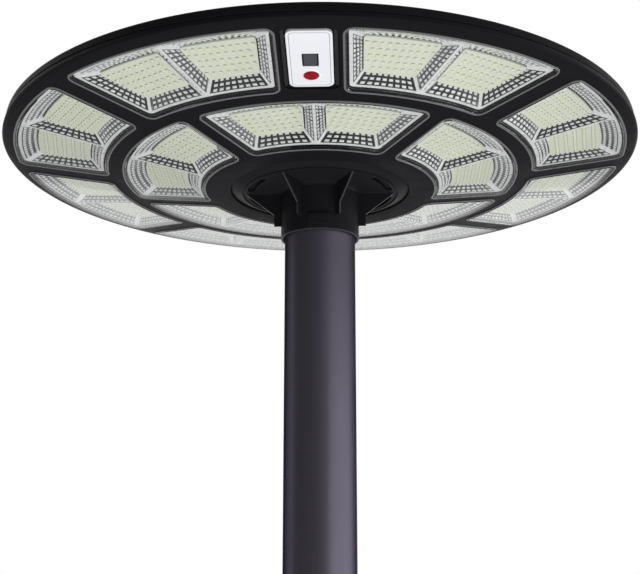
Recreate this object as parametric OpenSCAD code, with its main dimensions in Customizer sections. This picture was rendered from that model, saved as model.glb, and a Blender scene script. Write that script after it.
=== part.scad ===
// Solar street light: a round lamp head of lens modules with a solar panel on
// top, held by a clamped hub on a steel pole with an anchored base plate.
// Millimetres. The origin is on the ground under the middle of the pole, +Z is
// up, and the control panel faces -Y. Angles round the head count from -Y
// towards +X. Heights in the head are taken from its sloping underside.

/* [Pole] */
// Outer diameter of the pole tube
pole_d = 60.3; // [48:0.1:70]
// Wall thickness of the pole tube
pole_wall = 3; // [2:0.5:6]
// Height of the top of the pole above the ground
pole_top = 3000; // [2000:50:5000]

/* [Base plate] */
// Side of the square base plate
base_w = 220; // [200:5:320]
// Thickness of the base plate
base_t = 12; // [8:1:25]
// Corner radius of the base plate
base_corner_r = 12; // [4:1:18]
// Distance between neighbouring anchor holes
anchor_pitch = 160; // [130:5:180]
// Diameter of the anchor holes
anchor_d = 18; // [12:1:24]
// Height of the gussets above the base plate
foot_gusset_h = 90; // [40:5:200]
// Reach of the gussets out from the pole
foot_gusset_reach = 60; // [30:5:68]
// Thickness of the gussets
foot_gusset_t = 8; // [4:1:14]
// Height and width of the gussets' free ends
foot_gusset_toe = 10; // [4:1:20]

/* [Head] */
// Slope of the underside, falling towards the middle
head_slope = 8.5; // [4:0.5:12]
// Wall thickness of the housing and its cover
skin = 3; // [2:0.5:4]
// Height of the near-vertical rim band
rim_h = 13; // [11:0.5:18]
// Height of the lower housing's share of the rim band
rim_part_h = 6; // [5:0.5:8]
// Inward lean of the rim band over its height
rim_lean = 2.4; // [0:0.2:5]
// Chamfer on the rim's lower edge
rim_chamfer = 1.5; // [0.5:0.1:3]
// Chamfers of the groove where housing and cover meet
part_groove = 0.8; // [0.4:0.1:1.5]

/* [Lens modules] */
// Width of the margin between the flat middle and the inner windows
inner_margin = 7.1; // [4:0.1:12]
// Radial width of the inner windows
inner_ring_w = 68.2; // [60:0.1:90]
// Width of the ring between the inner and the outer windows
ring_gap = 14.9; // [9:0.1:20]
// Radial width of the outer windows
outer_ring_w = 75.6; // [70:0.1:90]
// Width of the margin between the outer windows and the rim
rim_margin = 11; // [7:0.1:16]
// Half width of the spokes in the outer ring
outer_spoke = 10.4; // [8:0.1:16]
// Half width of the spokes in the inner ring
inner_spoke = 7.6; // [5:0.1:12]
// Half width of the bay that holds the control panel
bay_half = 24.5; // [24:0.5:30]
// Corner radius of the windows
window_corner = 6; // [5:0.5:12]
// Depth of the rebate that each lens sits in
rebate = 2; // [1:0.1:2.4]
// Width of the ledge behind each lens
ledge = 2.4; // [2:0.1:5]
// Height of the bead round each window
bead_h = 0.8; // [0.4:0.1:1.5]
// Width of the bead round each window
bead_w = 1.6; // [1:0.1:2.2]
// Height that the lenses stand out of the underside
lens_rise = 1; // [0.8:0.1:3]
// Thickness of the lens faces
lens_t = 2; // [1.2:0.1:2.5]
// Thickness of the lenses' side walls
lens_wall = 2; // [1.4:0.1:3]
// Width and height of the bevel round the lens faces
lens_bevel = 0.8; // [0.4:0.1:1.6]

/* [Reflectors and LED boards] */
// Sheet thickness of the reflectors
reflector_t = 1.2; // [0.8:0.1:1.6]
// Width of the reflectors' rims round their wells
reflector_rim = 2.8; // [0.8:0.1:4]
// Depth of the reflector wells
well_depth = 6.4; // [5:0.1:7.5]
// Lap of the reflector flange behind the ledge
flange_lap = 1.6; // [1:0.1:1.8]
// Run of the wells' outer walls
run_outer = 13; // [10:0.5:18]
// Run of the wells' inner walls
run_inner = 8; // [5:0.5:13]
// Run of the wells' side walls
run_side = 7; // [5:0.5:12]
// Half width of the ridge between two wells
ridge_half = 1.2; // [1:0.1:2]
// Corner radius of the wells
well_corner = 5; // [3:0.5:5.5]
// Thickness of the LED boards
board_t = 1.6; // [1:0.1:2]
// Margin between an LED board and the foot of its well's walls
board_margin = 1; // [0.5:0.1:3]

/* [Control panel] */
// Width of the shoulders beside the recess in the bay
recess_side = 3.5; // [3:0.1:6]
// Width of the shoulders at the recess's ends
recess_end = 0.5; // [0.3:0.1:3]
// Depth of the recess
recess_d = 1.6; // [1:0.1:2]
// Margin between the label plate's sides and the recess
plate_side = 5; // [2:0.5:6]
// Mean margin between the label plate's ends and the recess
plate_end = 3.3; // [2.6:0.1:6]
// Distance of the label plate's middle outwards from the recess's middle
plate_out = 1.6; // [0:0.1:2.4]
// Thickness of the label plate
plate_t = 2.2; // [1.8:0.1:3]
// Corner radius of the label plate
plate_corner = 5; // [2:0.5:8]
// Corner radius of the recess
recess_corner = 7; // [3:0.5:10]
// Width of the two ridges along the plate's sides
ridge_w = 2.6; // [1:0.2:2.8]
// Gap between the plate and each ridge
ridge_gap = 1; // [0.4:0.1:1.4]
// Depth of the ridges' faces below the underside
ridge_sink = 0.3; // [0:0.1:0.8]
// Width of the sensor window
sensor_w = 11.6; // [9:0.2:14]
// Length of the sensor window
sensor_l = 15.6; // [12:0.2:18]
// Depth of the sensor window's face below the plate's
sensor_sink = 0.4; // [0.2:0.1:1]
// Distance between the middles of the sensor window and the button
sensor_pitch = 19; // [17:0.2:24]
// Diameter of the power button
button_d = 10.6; // [8:0.2:12]
// Distance of the button's middle from the plate's inner end
button_end = 14.6; // [12:0.2:18]
// Height of the button above the plate
button_rise = 1.4; // [0.8:0.1:2]
// Travel of the power button
button_travel = 1.2; // [0.5:0.1:1.2]
// Width of the rim that keeps the button behind the plate
button_rim = 1.6; // [1:0.1:2.5]
// Thickness of that rim
button_rim_t = 1.2; // [0.8:0.1:1.6]

/* [Hub] */
// Width of the flat ring round the hub's flange
dish_ring = 16; // [12:0.5:26]
// Radius of the hub's flange
hub_r = 77; // [70:0.5:85]
// Thickness of the hub's flange
hub_t = 6; // [5:0.5:9]
// Thickness of the flange at its rim, up to which its face slopes outside the groove
hub_edge_t = 2.6; // [1.6:0.1:3.6]
// Depth of the pocket that the flange sits in
hub_pocket = 4; // [3:0.5:5]
// Thickness of the flange over the pole's top
hub_floor = 3; // [2:0.5:4]
// Wall thickness of the collar
collar_wall = 3.1; // [2:0.1:5]
// Length of the collar below the flange
collar_l = 41.5; // [34:0.5:70]
// Radius of the fillet between collar and flange
collar_fillet = 3; // [2:0.5:8]
// Height and width of the chamfer inside the collar's mouth
mouth_chamfer = 1.2; // [0.6:0.1:1.6]
// Thickness of the hub's ribs
rib_t = 2; // [1.6:0.2:4]
// Margin of the flange outside the ribs
rib_margin = 13; // [8:1:18]
// Distance that the ribs stand out from the collar
rib_stand = 6.1; // [3:0.1:9]
// Height of the ribs' upright edges
rib_edge_h = 10; // [6:0.5:16]
// Distance of the ribs' lower ends above the collar's mouth
rib_end_up = 12.5; // [8:0.5:16]
// Angle of the front and back ribs from the panel's axis
rib_angle = 27; // [20:1:40]
// Margin of the flange outside its round groove
groove_margin = 9.5; // [7:0.5:10]
// Width of the round groove
groove_w = 2; // [1:0.2:2.4]
// Depth of the round groove
groove_d = 1; // [0.5:0.1:2]
// Margin of the flange outside the middle line of its curved slots
slot_margin = 17; // [16:0.5:24]
// Angle between a side rib and the middle of a slot
slot_angle = 24; // [22:1:30]
// Width of the curved slots
slot_w = 6; // [4:0.5:8]
// Depth of the curved slots
slot_d = 3; // [1.5:0.5:4]
// Sweep of the curved slots
slot_sweep = 28; // [16:1:36]
// Width of the pad on the collar's front
pad_w = 19; // [12:1:28]
// Height of the pad
pad_h = 10; // [6:0.5:14]
// Distance of the pad above the collar's mouth
pad_up = 3.5; // [3:0.5:8]
// Distance that the pad stands out from the collar
pad_stand = 1.6; // [0.8:0.1:3]
// Diameter of the screws that clamp the collar to the pole
clamp_d = 8; // [5:0.5:10]

/* [Solar panel] */
// Height of the cover's flat ring above the rim band
crown_h = 6; // [5:0.5:12]
// Width of the bevel between the rim band and the flat ring
crown_bevel = 12; // [8:0.5:16]
// Width of the flat ring round the solar panel
crown_ring = 11; // [6:0.5:20]
// Thickness of the panel's backing sheet
backing_t = 0.8; // [0.5:0.1:2]
// Thickness of the solar cells
cell_t = 0.4; // [0.2:0.1:1]
// Thickness of the panel's glass
glass_t = 3.2; // [2:0.1:5]
// Width of a solar cell
cell_w = 78; // [50:1:100]
// Length of a solar cell
cell_l = 39; // [30:1:80]
// Gap between neighbouring solar cells
cell_gap = 2; // [1:0.5:4]
// Margin between the cells and the panel's edge
cell_margin = 8; // [4:1:20]

/* [Fits] */
// Gap round a lens in its window
lens_gap = 0.2; // [0.1:0.05:0.5]
// Gap behind pieces that lie on a sloping face
seat_gap = 0.1; // [0.05:0.05:0.3]
// Gap round the plate's inserts and the button
panel_gap = 0.3; // [0.2:0.05:0.5]
// Gap between the pole and the collar's bore
pole_gap = 0.3; // [0.1:0.05:0.6]
// Gap round the clamp screws in their holes
clamp_gap = 0.1; // [0.05:0.05:0.2]
// Gap round the hub's flange and the solar panel
rim_gap = 0.5; // [0.3:0.1:1]

/* [Hidden] */
$fn = 180;

black = [0.05, 0.05, 0.055];
pole_paint = [0.27, 0.26, 0.31];
silver = [0.78, 0.79, 0.8];
clear = [0.9, 0.94, 0.93, 0.4];
board_cream = [0.85, 0.87, 0.76];

slope = tan(head_slope);
pole_r = pole_d / 2;

// Radii of the head, from its middle outwards
dish_r = hub_r + rim_gap + dish_ring;
inner_r0 = dish_r + inner_margin;
inner_r1 = inner_r0 + inner_ring_w;
outer_r0 = inner_r1 + ring_gap;
outer_r1 = outer_r0 + outer_ring_w;
head_r = outer_r1 + rim_margin;

// Heights of the flat faces at the hub
hub_seat_z = pole_top + hub_floor;
dish_z = hub_seat_z - hub_pocket;
hub_face_z = hub_seat_z - hub_t;
collar_mouth_z = hub_face_z - collar_l;
// Lowest edge of the rim, from which the underside falls towards the middle
head_z = dish_z + (head_r - dish_r) * slope;
function under_z(r) = head_z - (head_r - r) * slope;
part_z = head_z + rim_part_h;
cover_z = head_z + rim_h + crown_h;

// Spokes of the two rings: angle and half width, from the left side round the front
outer_spokes = [for (a = [-180, -134.8, -89.5, -46.2, 0, 0, 46.2, 89.5, 134.8, 180])
    [a, a == 0 ? bay_half : outer_spoke]];
inner_spokes = [for (a = [-180, -107.1, -34.2, 34.2, 107.1, 180]) [a, inner_spoke]];
// A module holds: first spoke's angle and half width, second spoke's angle and
// half width, inner radius, outer radius, corner radius
outer_windows = [for (i = [0:8]) if (i != 4) concat(outer_spokes[i], outer_spokes[i + 1],
    [outer_r0, outer_r1, window_corner])];
inner_windows = [for (i = [0:4]) concat(inner_spokes[i], inner_spokes[i + 1],
    [inner_r0, inner_r1, window_corner])];
windows = concat(outer_windows, inner_windows);

// Greatest angle that one straight piece of an arc spans, and steps in a corner
arc_step = 4;
corner_steps = 4;

// ---- outlines ----
function toward(a) = [sin(a), -cos(a)];
// Point at radius r whose distance from the spoke line at angle a is w, on side s
function beside(a, s, w, r) = sqrt(r * r - w * w) * toward(a) + s * w * [cos(a), sin(a)];
function bearing(a, s, w, r) = a + s * asin(w / r);
// A module made smaller by its own amount at its sides, inner edge and outer edge
function shrink(m, side, inner, outer, corner) =
    [m[0], m[1] + side, m[2], m[3] + side, m[4] + inner, m[5] - outer, corner];
function inset(m, d) = shrink(m, d, d, d, max(m[6] - d, 1));
function middle(m) = (bearing(m[0], 1, m[1], m[5]) + bearing(m[2], -1, m[3], m[5])) / 2;
// Rounded corner of radius f about a centre at radius r, turning from t0 to t1
function corner(a, s, w, r, f, t0, t1) = [for (i = [0:corner_steps])
    beside(a, s, w + f, r) + f * toward(t0 + (t1 - t0) * i / corner_steps)];
function arc(r, t0, t1, n) = [for (i = [1:n - 1]) r * toward(t0 + (t1 - t0) * i / n)];
// Outline of a module: along the outer edge and back along the inner one, with as
// many points each way
function outline(m) =
    let (f = m[6],
         oa = bearing(m[0], 1, m[1] + f, m[5] - f), ob = bearing(m[2], -1, m[3] + f, m[5] - f),
         ia = bearing(m[0], 1, m[1] + f, m[4] + f), ib = bearing(m[2], -1, m[3] + f, m[4] + f),
         n = ceil((m[2] - m[0]) / arc_step))
    concat(corner(m[0], 1, m[1], m[5] - f, f, m[0] - 90, oa),
           arc(m[5], oa, ob, n),
           corner(m[2], -1, m[3], m[5] - f, f, ob, m[2] + 90),
           corner(m[2], -1, m[3], m[4] + f, f, m[2] + 90, ib + 180),
           arc(m[4], ib, ia, n),
           corner(m[0], 1, m[1], m[4] + f, f, ia - 180, m[0] - 90));

// ---- helpers ----
// Upright prism over a module, through the whole head
module prism(m) {
    translate([0, 0, collar_mouth_z]) linear_extrude(cover_z - collar_mouth_z) polygon(outline(m));
}

// Sloping layer between two heights above the underside
module layer(low, high) {
    r0 = hub_r;
    r1 = head_r + rim_margin;
    rotate_extrude() polygon([
        [r0, under_z(r0) + low], [r1, under_z(r1) + low],
        [r1, under_z(r1) + high], [r0, under_z(r0) + high]]);
}

// Solid whose cross-section goes from one module outline to the next. Each section
// is a module and its height above the underside, from low to high.
module loft(sections) {
    rings = [for (s = sections) [for (p = outline(s[0])) [p[0], p[1], under_z(norm(p)) + s[1]]]];
    n = len(rings[0]);
    last = len(rings) - 1;
    points = [for (ring = rings) for (p = ring) p];
    sides = [for (k = [0:last - 1]) for (i = [0:n - 1])
        let (j = (i + 1) % n, a = k * n, b = a + n)
        each [[a + i, b + i, b + j], [a + i, b + j, a + j]]];
    caps = [for (i = [0:n / 2 - 2]) let (j = n - 1 - i, t = last * n)
        each [[i, i + 1, j - 1], [i, j - 1, j], [t + i, t + j - 1, t + i + 1], [t + i, t + j, t + j - 1]]];
    polyhedron(points, concat(sides, caps), convexity = 6);
}

module rounded_plate(w, l, t, r) {
    linear_extrude(t) union() {
        square([w - 2 * r, l], center = true);
        square([w, l - 2 * r], center = true);
        for (x = [-1, 1], y = [-1, 1]) translate([x * (w / 2 - r), y * (l / 2 - r)]) circle(r);
    }
}

// Frame of the control panel: origin on the underside under the middle of the label
// plate, +Y towards the hub, +Z into the head
plate_r = (outer_r0 + outer_r1) / 2 + plate_out;
recess_w = 2 * (bay_half - recess_side);
recess_l = outer_ring_w - 2 * recess_end;
plate_w = recess_w - 2 * plate_side;
plate_l = recess_l - 2 * plate_end;
button_in = plate_l / 2 - button_end;
sensor_in = button_in - sensor_pitch;
button_hole = button_rim_t + button_travel + 2 * panel_gap;
module panel_frame() {
    translate([0, -plate_r, under_z(plate_r)]) rotate([-head_slope, 0, 0]) children();
}

// ---- pole and foot ----
module pole() {
    color(pole_paint) translate([0, 0, base_t]) difference() {
        cylinder(h = pole_top - base_t, r = pole_r);
        translate([0, 0, -1]) cylinder(h = pole_top + 2, r = pole_r - pole_wall);
    }
}

module base_plate() {
    color(pole_paint) difference() {
        rounded_plate(base_w, base_w, base_t, base_corner_r);
        for (x = [-1, 1], y = [-1, 1])
            translate([x * anchor_pitch / 2, y * anchor_pitch / 2, -1])
                cylinder(h = base_t + 2, d = anchor_d);
    }
}

module foot_gussets() {
    color(pole_paint) difference() {
        for (a = [0:90:270]) rotate(a)
            translate([0, foot_gusset_t / 2, base_t]) rotate([90, 0, 0])
                linear_extrude(foot_gusset_t) polygon([
                    [pole_r - pole_wall / 2, 0], [pole_r + foot_gusset_reach, 0],
                    [pole_r + foot_gusset_reach, foot_gusset_toe],
                    [pole_r + foot_gusset_toe, foot_gusset_h], [pole_r - pole_wall / 2, foot_gusset_h]]);
        translate([0, 0, base_t - 1]) cylinder(h = foot_gusset_h + 2, r = pole_r);
    }
}

// ---- hub ----
collar_bore_r = pole_r + pole_gap;
collar_r = collar_bore_r + collar_wall;
slot_r = hub_r - slot_margin;
groove_r = hub_r - groove_margin;
rib_angles = [rib_angle, 90, 180 - rib_angle, 180 + rib_angle, 270, 360 - rib_angle];
slot_angles = [for (side = [90, 270], s = [-1, 1]) side + s * slot_angle];
// The clamp screws lie half-way between the back ribs and the side ribs
clamp_angles = [135 - rib_angle / 2, 225 + rib_angle / 2];

module hub_rib() {
    edge_r = collar_r + rib_stand;
    end_z = collar_mouth_z + rib_end_up;
    inside_r = collar_r - collar_wall / 2;
    translate([rib_t / 2, 0, 0]) rotate([90, 0, -90]) linear_extrude(rib_t) polygon([
        [inside_r, end_z], [edge_r, end_z], [edge_r, end_z + rib_edge_h],
        [hub_r - rib_margin, hub_face_z], [hub_r - rib_margin, hub_face_z + hub_t / 2],
        [inside_r, hub_face_z + hub_t / 2]]);
}

// Curved slot with round ends, centred at angle a
module slot_shape(a) {
    half = slot_sweep / 2;
    intersection() {
        difference() {
            circle(slot_r + slot_w / 2);
            circle(slot_r - slot_w / 2);
        }
        polygon([[0, 0], 2 * slot_r * toward(a - half), 2 * slot_r * toward(a + half)]);
    }
    for (e = [-half, half]) translate(slot_r * toward(a + e)) circle(d = slot_w);
}

// Half section of the flange and collar, with a fillet between them
module hub_profile() {
    difference() {
        union() {
            polygon([[0, hub_face_z], [groove_r, hub_face_z], [hub_r, hub_seat_z - hub_edge_t],
                     [hub_r, hub_seat_z], [0, hub_seat_z]]);
            translate([0, collar_mouth_z]) square([collar_r, collar_l + hub_t / 2]);
            translate([collar_r - collar_wall / 2, hub_face_z - collar_fillet])
                square([collar_fillet + collar_wall / 2, collar_fillet + hub_t / 2]);
        }
        translate([collar_r + collar_fillet, hub_face_z - collar_fillet]) circle(collar_fillet);
        translate([groove_r - groove_w, hub_face_z - 1]) square([groove_w, groove_d + 1]);
        translate([-1, collar_mouth_z - 1])
            square([collar_bore_r + 1, pole_top - collar_mouth_z + 1]);
        translate([collar_bore_r, collar_mouth_z]) rotate(45)
            square(mouth_chamfer * sqrt(2), center = true);
    }
}

// Pad on the collar's front, curved as the collar is
module hub_pad() {
    translate([0, 0, collar_mouth_z + pad_up]) intersection() {
        difference() {
            cylinder(h = pad_h, r = collar_r + pad_stand);
            translate([0, 0, -1]) cylinder(h = pad_h + 2, r = collar_r - collar_wall / 2);
        }
        translate([-pad_w / 2, -2 * collar_r, -1]) cube([pad_w, 2 * collar_r, pad_h + 2]);
    }
}

module clamp_places() {
    for (a = clamp_angles) rotate(a)
        translate([0, 0, collar_mouth_z + rib_end_up]) rotate([90, 0, 0]) children();
}

module mounting_hub() {
    color(black) difference() {
        union() {
            rotate_extrude() hub_profile();
            for (a = rib_angles) rotate(a) hub_rib();
            hub_pad();
        }
        translate([0, 0, hub_face_z - 1]) linear_extrude(slot_d + 1)
            for (a = slot_angles) slot_shape(a);
        clamp_places() cylinder(h = 2 * collar_r, d = clamp_d);
    }
}

module clamp_screws() {
    color(silver) clamp_places() translate([0, 0, pole_r]) difference() {
        cylinder(h = collar_r - pole_r, d = clamp_d - 2 * clamp_gap);
        translate([0, 0, (collar_r - pole_r) / 2]) cylinder(h = collar_r, d = clamp_d / 2, $fn = 6);
    }
}

// ---- housing ----
function rim_r(z) = head_r - rim_lean * (z - head_z) / rim_h;

// Ridges along both sides of the label plate
module panel_ridges() {
    for (s = [-1, 1])
        translate([s * (plate_w / 2 + ridge_gap + ridge_w / 2) - ridge_w / 2, -plate_l / 2, ridge_sink])
            cube([ridge_w, plate_l, recess_d - ridge_sink + skin / 2]);
}

module housing_shell() {
    wall_r = head_r - rim_lean - skin;
    difference() {
        union() {
            rotate_extrude() polygon([
                [0, hub_seat_z], [hub_r + rim_gap, hub_seat_z], [hub_r + rim_gap, dish_z],
                [dish_r, dish_z], [head_r - 2 * rim_chamfer, under_z(head_r - 2 * rim_chamfer)],
                [head_r, head_z + rim_chamfer], [rim_r(part_z - part_groove), part_z - part_groove],
                [rim_r(part_z) - part_groove, part_z], [wall_r, part_z],
                [wall_r, under_z(wall_r) + skin], [dish_r, dish_z + skin],
                [hub_r + rim_gap + skin, dish_z + hub_pocket + skin], [0, hub_seat_z + skin]]);
            intersection() {
                layer(-bead_h, skin / 2);
                union() for (m = windows) prism(inset(m, -bead_w));
            }
            panel_frame() translate([0, plate_out, skin / 2])
                rounded_plate(recess_w + skin, recess_l - skin, recess_d + button_hole, plate_corner);
        }
        intersection() {
            layer(-2 * bead_h, rebate);
            union() for (m = windows) prism(m);
        }
        for (m = windows) prism(inset(m, ledge));
        panel_frame() {
            translate([0, plate_out, -skin])
                rounded_plate(recess_w, recess_l, recess_d + skin, recess_corner);
            translate([0, button_in, 0])
                cylinder(h = recess_d + button_hole, d = button_d + 2 * (button_rim + panel_gap));
        }
    }
}

module lower_housing() {
    color(black) union() {
        housing_shell();
        panel_frame() panel_ridges();
    }
}

// The solar panel lies in a pocket, with its glass flush with the cover's flat ring
solar_seat_z = cover_z - glass_t - cell_t - backing_t;
solar_r = head_r - rim_lean - crown_bevel - crown_ring - rim_gap;

module upper_cover() {
    wall_r = head_r - rim_lean - skin;
    pocket_r = solar_r + rim_gap;
    color(black) rotate_extrude() polygon([
        [0, solar_seat_z], [pocket_r, solar_seat_z], [pocket_r, cover_z],
        [pocket_r + crown_ring, cover_z], [rim_r(head_z + rim_h), head_z + rim_h],
        [rim_r(part_z + part_groove), part_z + part_groove], [rim_r(part_z) - part_groove, part_z],
        [wall_r, part_z], [wall_r, head_z + rim_h - skin / 2],
        [solar_r, solar_seat_z - skin], [0, solar_seat_z - skin]]);
}

// ---- control panel ----
module label_plate() {
    color("white") panel_frame() translate([0, 0, recess_d - plate_t]) difference() {
        rounded_plate(plate_w, plate_l, plate_t, plate_corner);
        translate([-sensor_w / 2, sensor_in - sensor_l / 2, -1]) cube([sensor_w, sensor_l, plate_t + 2]);
        translate([0, button_in, -1]) cylinder(h = plate_t + 2, d = button_d + 2 * panel_gap);
    }
}

module sensor_window() {
    color([0.33, 0.34, 0.36]) panel_frame()
        translate([panel_gap - sensor_w / 2, sensor_in + panel_gap - sensor_l / 2,
                   recess_d - plate_t + sensor_sink])
            cube([sensor_w - 2 * panel_gap, sensor_l - 2 * panel_gap, plate_t - sensor_sink]);
}

module power_button() {
    color([0.7, 0.08, 0.12]) panel_frame() translate([0, button_in, 0]) {
        translate([0, 0, recess_d - plate_t - button_rise])
            cylinder(h = plate_t + button_rise + panel_gap + button_rim_t, d = button_d);
        translate([0, 0, recess_d + panel_gap])
            cylinder(h = button_rim_t, d = button_d + 2 * button_rim);
    }
}

// ---- lens modules ----
module lens(m) {
    glass = inset(m, lens_gap);
    color(clear) difference() {
        loft([[inset(glass, lens_bevel), -lens_rise], [glass, lens_bevel - lens_rise],
              [glass, rebate - seat_gap]]);
        intersection() {
            layer(lens_t - lens_rise, rebate + 5);
            prism(inset(glass, lens_wall));
        }
    }
}

// One of the two wells of a module, h = 0 or 1, at its mouth or at its floor
function well_mouth(m, h) = let (w = inset(m, ledge + reflector_rim), mid = middle(m))
    h == 0 ? [w[0], w[1], mid, ridge_half, w[4], w[5], well_corner]
           : [mid, ridge_half, w[2], w[3], w[4], w[5], well_corner];
function well_floor(m, h) = shrink(well_mouth(m, h), run_side, run_inner, run_outer, well_corner);

rim_level = skin + seat_gap;
floor_level = rim_level + well_depth;

module reflector(m) {
    color(silver) difference() {
        union() {
            intersection() {
                layer(rim_level, rim_level + reflector_t);
                prism(inset(m, ledge - flange_lap));
            }
            for (h = [0, 1]) loft([
                [inset(well_mouth(m, h), -reflector_t / 2), rim_level + reflector_t / 2],
                [inset(well_floor(m, h), -reflector_t), floor_level + reflector_t]]);
        }
        for (h = [0, 1]) loft([[well_mouth(m, h), rim_level - 0.5], [well_floor(m, h), floor_level]]);
    }
}

module led_boards(modules) {
    color(board_cream) intersection() {
        layer(floor_level - seat_gap - board_t, floor_level - seat_gap);
        union() for (m = modules, h = [0, 1]) prism(inset(well_floor(m, h), board_margin));
    }
}

// ---- solar panel ----
module solar_backing() {
    color("white") translate([0, 0, solar_seat_z]) cylinder(h = backing_t, r = solar_r);
}

module solar_cells() {
    pitch = [cell_w + cell_gap, cell_l + cell_gap];
    reach = solar_r - cell_margin;
    columns = floor(reach / pitch[0]);
    rows = floor(reach / pitch[1]);
    color([0.06, 0.08, 0.16]) translate([0, 0, solar_seat_z + backing_t])
        for (i = [-columns:columns], j = [-rows:rows])
            if (norm([abs(i) * pitch[0] + cell_w / 2, abs(j) * pitch[1] + cell_l / 2]) < reach)
                translate([i * pitch[0] - cell_w / 2, j * pitch[1] - cell_l / 2, 0])
                    cube([cell_w, cell_l, cell_t]);
}

module solar_glass() {
    color([0.3, 0.35, 0.45, 0.35]) translate([0, 0, solar_seat_z + backing_t + cell_t])
        cylinder(h = glass_t, r = solar_r);
}

pole();
base_plate();
foot_gussets();
mounting_hub();
clamp_screws();
lower_housing();
upper_cover();
solar_backing();
solar_cells();
solar_glass();
label_plate();
sensor_window();
power_button();
for (i = [0:7]) {
    lens(outer_windows[i]);
    reflector(outer_windows[i]);
}
for (i = [0:4]) {
    lens(inner_windows[i]);
    reflector(inner_windows[i]);
}
led_boards(outer_windows);  // led_boards_outer
led_boards(inner_windows);  // led_boards_inner
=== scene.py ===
import math
from itertools import repeat

import bmesh
import bpy
import numpy as np
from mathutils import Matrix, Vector
from mathutils.geometry import delaunay_2d_cdt


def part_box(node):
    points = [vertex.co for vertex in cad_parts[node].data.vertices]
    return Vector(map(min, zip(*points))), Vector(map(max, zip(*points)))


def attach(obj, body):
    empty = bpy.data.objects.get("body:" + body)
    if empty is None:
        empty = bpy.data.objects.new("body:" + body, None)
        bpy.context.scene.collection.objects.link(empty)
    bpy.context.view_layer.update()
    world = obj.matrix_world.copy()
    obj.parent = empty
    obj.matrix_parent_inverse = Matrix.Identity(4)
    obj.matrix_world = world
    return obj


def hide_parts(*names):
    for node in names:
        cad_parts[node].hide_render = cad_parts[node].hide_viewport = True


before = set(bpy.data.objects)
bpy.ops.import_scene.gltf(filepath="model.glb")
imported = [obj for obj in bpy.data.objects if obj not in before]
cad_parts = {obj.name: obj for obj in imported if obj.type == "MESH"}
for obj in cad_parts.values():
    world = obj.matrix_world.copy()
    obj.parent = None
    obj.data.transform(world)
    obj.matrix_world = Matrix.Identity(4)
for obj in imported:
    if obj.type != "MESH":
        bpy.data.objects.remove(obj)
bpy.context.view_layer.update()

scene = bpy.context.scene
print("frame loaded:", len(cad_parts), "nodes")

# Shapes below are worked out in millimetres, in the frame of the part.


def boxInMm(node):
    low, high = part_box(node)
    return low * 1000, high * 1000


hubLow, hubHigh = boxInMm("mounting_hub")
poleLow, poleHigh = boxInMm("pole")
housingHigh = boxInMm("lower_housing")[1]
coverHigh = boxInMm("upper_cover")[1]
footHigh = boxInMm("base_plate")[1]
gussetHigh = boxInMm("foot_gussets")[1]

head = {
    "slope": 8.5,  # degrees, the underside falls towards the middle
    "band": 13.0,  # height of the rim band
    "lowerBand": 6.0,  # the housing's share of it
    "lean": 2.4,  # inward lean of the band
    "groove": 0.8,  # chamfers where housing and cover meet
    "skin": 3.0,
    "lip": 1.5,  # height of the rim's rounded lower edge
    "lipWidth": 3.0,
    "rimMargin": 11.0,
    "outerWidth": 75.6,  # radial width of the outer ring of windows
    "ringGap": 14.9,
    "innerWidth": 68.2,  # and of the inner ring
    "dishMargin": 7.1,
    "hubGap": 0.5,
    "outerSpoke": 10.4,
    "innerSpoke": 7.6,
    "bay": 24.5,  # half width of the bay with the panel
    "corner": 6.0,
    "outerAngles": (-180, -134.8, -89.5, -46.2, 0, 0, 46.2, 89.5, 134.8, 180),
    "innerAngles": (-180, -107.1, -34.2, 34.2, 107.1, 180),
}
headR = housingHigh[0]
headZ = housingHigh[2] - head["lowerBand"]
topZ = coverHigh[2]
fall = math.tan(math.radians(head["slope"]))
outerR1 = headR - head["rimMargin"]
outerR0 = outerR1 - head["outerWidth"]
innerR1 = outerR0 - head["ringGap"]
innerR0 = innerR1 - head["innerWidth"]
dishR = innerR0 - head["dishMargin"]
dishZ = headZ - (headR - dishR) * fall
hubR = hubHigh[0]
hubSeatZ = hubHigh[2]
collarZ = hubLow[2]
poleR = poleHigh[0]


def underZ(x, y, above=0.0):
    return headZ - (headR - math.hypot(x, y)) * fall + above


# Outlines

def spread(start, stop, steps):
    return [start + (stop - start) * i / steps for i in range(steps + 1)]


def toward(angle):
    a = math.radians(angle)
    return Vector((math.sin(a), -math.cos(a)))


def beside(angle, side, away, radius):
    a = math.radians(angle)
    return math.sqrt(radius ** 2 - away ** 2) * toward(angle) + side * away * Vector((math.cos(a), math.sin(a)))


def bearing(angle, side, away, radius):
    return angle + side * math.degrees(math.asin(away / radius))


# A window is two spokes, each an angle and a half width, two radii and the radius of its corners
def trim(window, side, inner, outer, corner):
    a, wa, b, wb, r0, r1, _ = window
    return (a, wa + side, b, wb + side, r0 + inner, r1 - outer, corner)


def inset(window, by):
    return trim(window, by, by, by, max(window[6] - by, 1.0))


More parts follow.
